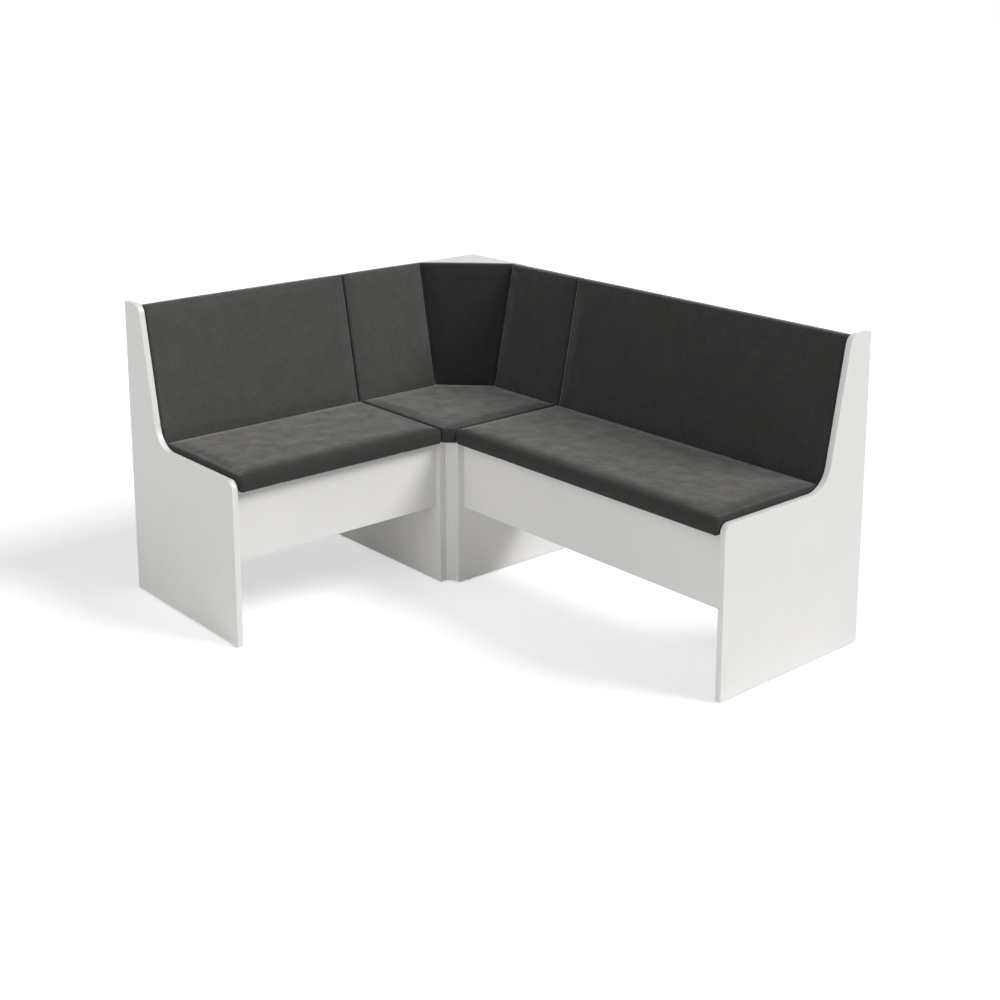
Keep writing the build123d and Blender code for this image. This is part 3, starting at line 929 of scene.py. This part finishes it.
staples_of = {}
for name, piece in cushions.items():
    strip = hem_strip(name)
    staples_of[name] = staple_spots(strip)
    raised = bmesh.ops.extrude_face_region(strip, geom=strip.faces[:], use_keep_orig=True)["geom"]
    outer = [item for item in raised if isinstance(item, bmesh.types.BMVert)]
    bmesh.ops.translate(strip, verts=outer, vec=-UP * hem_thickness)
    bmesh.ops.recalc_face_normals(strip, faces=strip.faces)
    hem = bpy.data.meshes.new("hem")
    strip.to_mesh(hem)
    strip.free()
    whole = bmesh.new()
    whole.from_mesh(piece.data)
    whole.from_mesh(hem)
    whole.to_mesh(piece.data)
    whole.free()
    bpy.data.meshes.remove(hem)
print("places for staples:", {name: len(spots) for name, spots in staples_of.items()})

# %% [markdown]
# ## Cushions, last step: place and finish
# Each seat first notes how far each point tilts from level. Its finish reads that to paint shade: deeper
# colour and less sheen on the tilted faces. Then each cushion goes from its board's frame to its place,
# takes the fabric, and stands for the imported one.
# Smooth shading would also round the corners of the hollow, so edges with more than half a right angle
# stay sharp.

# %% Finish the cushions
tilt_shade_start = math.radians(2.0)
tilt_shade_end = math.radians(40.0)
fabric_crease = math.radians(45.0)


def note_painted_tilt_shade(piece):
    """Notes on each point how far its surface tilts from level, for painted shade: nought on the flat,
    and one on the sides.
    """
    painted_tilt_shade = piece.data.attributes.new("painted_tilt_shade", "FLOAT", "POINT")
    for point, note in zip(piece.data.vertices, painted_tilt_shade.data):
        lean = math.acos(min(max(point.normal.z, -1.0), 1.0))
        note.value = min(max((lean - tilt_shade_start) / (tilt_shade_end - tilt_shade_start), 0.0), 1.0)


for name, piece in cushions.items():
    if name.endswith("seat"):
        note_painted_tilt_shade(piece)
    piece.data.transform(places[name])
    piece.data.shade_smooth()
    piece.data.set_sharp_from_angle(angle=fabric_crease)
    piece.data.materials.clear()
    piece.data.materials.append(cushion_finish[name])
    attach(piece, cushion_bodies[name])
    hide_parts(name + "_cushion")
print("cushions:", len(cushions))

# %% [markdown]
# ## Staples
# Upholsterers hold the hem with staples, one every few centimetres and never quite straight. One staple
# is a small bar with rounded edges. It is copied to each place by a matrix, so all staples of a board
# are one light mesh.

# %% Helpers for small pieces
small_crease = math.radians(35.0)


def round_edges(form, edges, width, steps):
    """Bevels some edges of a bmesh to a round of a given width."""
    bmesh.ops.bevel(form, geom=edges, offset=width, offset_type="OFFSET", segments=steps, profile=0.5,
                    affect="EDGES", material=-1)


def stamp(form, pattern, spots):
    """Copies a small mesh into a bmesh once for each place."""
    for spot in spots:
        before = len(form.verts)
        form.from_mesh(pattern)
        form.verts.ensure_lookup_table()
        bmesh.ops.transform(form, matrix=spot, verts=form.verts[before:])


def pattern_mesh(form, name):
    """Keeps a bmesh as a mesh that can be stamped many times."""
    mesh = bpy.data.meshes.new(name)
    bmesh.ops.recalc_face_normals(form, faces=form.faces)
    form.to_mesh(mesh)
    form.free()
    return mesh


def stand(point, out, along):
    """Matrix of a small piece that stands on a point, with z out of the surface and x along it."""
    side = (along - out * along.dot(out)).normalized()
    turn = Matrix((side, out.cross(side), out)).transposed().to_4x4()
    return Matrix.Translation(point) @ turn


def dress(piece, finish, body):
    """Gives a small rigid piece its shading, finish and body."""
    piece.data.shade_smooth()
    piece.data.set_sharp_from_angle(angle=small_crease)
    piece.data.materials.append(finish)
    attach(piece, body)


print("edges of small pieces stay sharp from", round(math.degrees(small_crease)), "degrees")

# %% Shoot the staples
staple_size = Vector((10.5, 1.1, 0.6)) * millimetre
staple_round = 0.2 * millimetre
staple_turn = math.radians(14.0)
staple_middle = hem_thickness + staple_size.z / 3

bar = bmesh.new()
bmesh.ops.create_cube(bar, size=1.0)
bmesh.ops.scale(bar, verts=bar.verts, vec=staple_size)
round_edges(bar, bar.edges[:], staple_round, steps=1)
staple = pattern_mesh(bar, "staple")
for name, spots in staples_of.items():
    row = bmesh.new()
    turned = []
    for point, along in spots:
        crooked = Matrix.Rotation(noise.noise(point / hem_step) * staple_turn, 4, "Z")
        on_hem = point - UP * staple_middle
        turned.append(places[name] @ stand(on_hem, -UP, along) @ crooked)
    stamp(row, staple, turned)
    dress(show(row, name + "_staples"), plated_steel, cushion_bodies[name])
print("staples:", sum(len(spots) for spots in staples_of.values()))

# %% [markdown]
# ## Screws
# Hinges, rails, bent plates and brackets are held by screws with low round heads. A short cone with a
# bevelled rim makes the head. The cross recess is cut into its flat top by eight planes, and the fields
# of the cross are inset and pushed down. The same cut serves the cam locks further on.

# %% Make one screw head
screw_radius = 3.4 * millimetre
screw_top_radius = 0.8 * screw_radius
screw_height = 1.5 * millimetre
screw_round = 0.6 * millimetre
flat_on = 0.99
same_plane = 0.01 * millimetre
cut_exactness = 0.0001 * millimetre
cross_taper = 0.3


def cut_cross(form, middle, reach, half_width, depth):
    """Presses a cross recess for a screwdriver into a flat upper face."""
    def in_face(face):
        away = face.calc_center_median() - middle
        return face.normal.z > flat_on and abs(away.z) < same_plane and away.length < 3 * reach

    for direction in (ALONG_X, ALONG_Y):
        for offset in (-reach, -half_width, half_width, reach):
            flat = [face for face in form.faces if in_face(face)]
            edges = dict.fromkeys(edge for face in flat for edge in face.edges)
            corners = dict.fromkeys(corner for face in flat for corner in face.verts)
            bmesh.ops.bisect_plane(form, geom=flat + list(edges) + list(corners), dist=cut_exactness,
                                   plane_co=middle + direction * offset, plane_no=direction)
            form.normal_update()
    cross = []
    for face in form.faces:
        away = face.calc_center_median() - middle
        near, far = sorted((abs(away.x), abs(away.y)))
        if in_face(face) and near < half_width and far < reach:
            cross.append(face)
    bmesh.ops.inset_region(form, faces=cross, thickness=half_width * cross_taper, depth=-depth,
                           use_even_offset=True)
    return len(cross)


head = bmesh.new()
bmesh.ops.create_cone(head, cap_ends=True, segments=20, radius1=screw_radius, radius2=screw_top_radius,
                      depth=screw_height)
bmesh.ops.translate(head, verts=head.verts, vec=UP * (screw_height / 2))
top = max(head.faces, key=lambda face: face.calc_center_median().z)
round_edges(head, top.edges[:], screw_round, steps=3)
head.normal_update()
fields = cut_cross(head, UP * screw_height, reach=1.5 * millimetre, half_width=0.35 * millimetre,
                   depth=0.7 * millimetre)
screw = pattern_mesh(head, "screw")
print("faces of a screw head:", len(screw.polygons), "fields of its cross:", fields)

# %% [markdown]
# ## Where the screws go
# Each plate or rail has flat faces that look one way. The middle of such a face and its longest edge
# are enough to set a row of screws on it: two on a hinge leaf, one on a bracket, four along a rail.

# %% Find places for screws
least_face = 350.0 * millimetre ** 2
looking_alike = 0.98
cross_tilt = 0.3


def joined_copy(node):
    """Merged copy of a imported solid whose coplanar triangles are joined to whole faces."""
    form = merged_copy(node)
    bmesh.ops.dissolve_limit(form, angle_limit=coplanar, verts=form.verts, edges=form.edges)
    form.normal_update()
    return form


def screw_row(node, looking, shares):
    """Places of screws along each flat face of a node that looks one way."""
    form = joined_copy(node)
    spots = []
    for face in form.faces:
        if face.normal.dot(looking) > looking_alike and face.calc_area() > least_face:
            longest = max(face.edges, key=lambda edge: edge.calc_length())
            along = longest.verts[1].co - longest.verts[0].co
            for share in shares:
                point = face.calc_center_bounds() + along * share
                spots.append(stand(point, face.normal.copy(), along + UP * cross_tilt * along.length))
    form.free()
    return spots


def set_screws(name, body, spots):
    """Puts a screw at each place, as one piece."""
    rows = bmesh.new()
    stamp(rows, screw, spots)
    dress(show(rows, name), plated_steel, body)
    return len(spots)


def behind(name):
    """Direction out of the rear of a board."""
    return -places[name].col[2].to_3d()


print("least face for a screw:", round(least_face / millimetre ** 2), "square millimetres")

# %% Set the screws
wall_of = {"long": ALONG_Y, "short": -ALONG_X}
inward_of = {"long": -ALONG_X, "short": ALONG_Y}
on_leaf = (-0.3, 0.3)
on_rail = (-0.44, -0.15, 0.15, 0.44)
on_plate = (-0.28, 0.28)
on_bracket = (0.0,)
screws = 0
for bench in ("long", "short"):
    spots = screw_row(nodes[bench + "_hinge_frame_leaves"], wall_of[bench], on_leaf)
    for rail in ("upper_rail", "lower_rail"):
        spots += screw_row(nodes[f"{bench}_{rail}"], behind(bench + "_back"), on_rail)
    spots += screw_row(nodes["corner_back_plates"], behind(f"corner_{bench}_back"), on_plate)
    spots += screw_row(nodes["corner_brackets"], inward_of[bench], on_bracket)
    screws += set_screws(bench + "_frame_screws", "frame", spots)
    lid = screw_row(nodes[bench + "_hinge_lid_leaves"], -UP, on_leaf)
    screws += set_screws(bench + "_lid_screws", bench + "_seat", lid)
spots = screw_row(nodes["corner_back_plates"], behind("corner_diagonal_back"), on_plate)
spots += screw_row(nodes["corner_brackets"], -UP, on_bracket)
screws += set_screws("corner_screws", "frame", spots)
print("screws:", screws)

# %% [markdown]
# ## Cam locks
# The aprons and chest backs hang on cams: zinc drums in blind holes, turned with a screwdriver to pull
# a bolt tight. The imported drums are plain, so a finer drum with a bevelled rim and a cross recess is
# made once and stamped at the middle of each packed one. The cams all face the wall, and each was left
# turned a little differently.

# %% Cut the cams
cam_radius = 7.2 * millimetre
cam_depth = 12.0 * millimetre
cam_sink = 0.3 * millimetre
cam_unlikeness = 10.0


def round_block(radius, depth, rounding, steps):
    """A short round block below z = 0, with its upper rim rounded."""
    block = bmesh.new()
    bmesh.ops.create_cone(block, cap_ends=True, segments=28, radius1=radius, radius2=radius, depth=depth)
    bmesh.ops.translate(block, verts=block.verts, vec=-UP * (depth / 2))
    upper = max(block.faces, key=lambda face: face.calc_center_median().z)
    round_edges(block, upper.edges[:], rounding, steps)
    block.normal_update()
    return block


def faces_towards(node, looking):
    """Middles of the flat faces of a node that look one way."""
    form = joined_copy(node)
    middles = [face.calc_center_bounds() for face in form.faces if face.normal.dot(looking) > flat_on]
    form.free()
    return middles


drum = round_block(cam_radius, cam_depth, rounding=0.5 * millimetre, steps=2)
cut_cross(drum, Vector(), reach=4.6 * millimetre, half_width=0.9 * millimetre, depth=2.2 * millimetre)
cam = pattern_mesh(drum, "cam")
cams = 0
for bench, wall in wall_of.items():
    spots = []
    for middle in faces_towards(nodes[bench + "_cam_locks"], wall):
        turn = noise.noise(middle * cam_unlikeness) * wall.cross(UP)
        spots.append(stand(middle - wall * cam_sink, wall, UP + turn))
    form = bmesh.new()
    stamp(form, cam, spots)
    piece = show(form, bench + "_cams")
    dress(piece, cast_zinc, "frame")
    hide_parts(bench + "_cam_locks")
    cams += len(spots)
print("cams:", cams)

# %% [markdown]
# ## Glides
# Each panel stands on nailed plastic glides, which are domed underneath so that they slide over a floor.
# The same round block serves, with a wide rounding turned down, and its middle still touches the floor.

# %% Round the glides
glide_radius = 6.9 * millimetre
sole = round_block(glide_radius, panel_foot, rounding=2.0 * millimetre, steps=4)
glide = pattern_mesh(sole, "glide")
spots = [stand(middle, -UP, ALONG_X) for middle in faces_towards(nodes["floor_glides"], -UP)]
form = bmesh.new()
stamp(form, glide, spots)
piece = show(form, "glide_discs")
dress(piece, glide_white, "frame")
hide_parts("floor_glides")
print("glides:", len(spots))

# %% [markdown]
# ## Edge bands
# A trimming cutter leaves the outer corners of an edge band slightly round, and there it catches a thin
# line of light. A merged copy of each packed band gets a bevel along the edges that stand clear of the
# panel.

# %% Round the edge bands
band_round = 0.7 * millimetre
clear_of_panel = 0.5 * millimetre
corner_angle = 1.0
for bench in ("long", "short"):
    form = joined_copy(nodes[bench + "_end_edging"])
    panel = surfaces[bench + "_end_panel"]
    outer = []
    for edge in form.edges:
        middle = (edge.verts[0].co + edge.verts[1].co) / 2
        clear = panel.find_nearest(middle)[3] > clear_of_panel
        if clear and edge.calc_face_angle(0.0) > corner_angle:
            outer.append(edge)
    round_edges(form, outer, band_round, steps=3)
    piece = show(form, bench + "_edge_band")
    dress(piece, band_white, "frame")
    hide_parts(bench + "_end_edging")
    print(bench, "edges rounded:", len(outer))

# %% [markdown]
# ## Size
# How far the dressed bench reaches beyond the box of the imported one is printed. The dressed bench
# may not be larger than the imported one, apart from a little fabric.

# %% Print the growth
dressed_low, dressed_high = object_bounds()
growth = (dressed_high - dressed_low) - (cad_high - cad_low)
print("grown by:", [round(side / millimetre, 1) for side in growth], "mm")
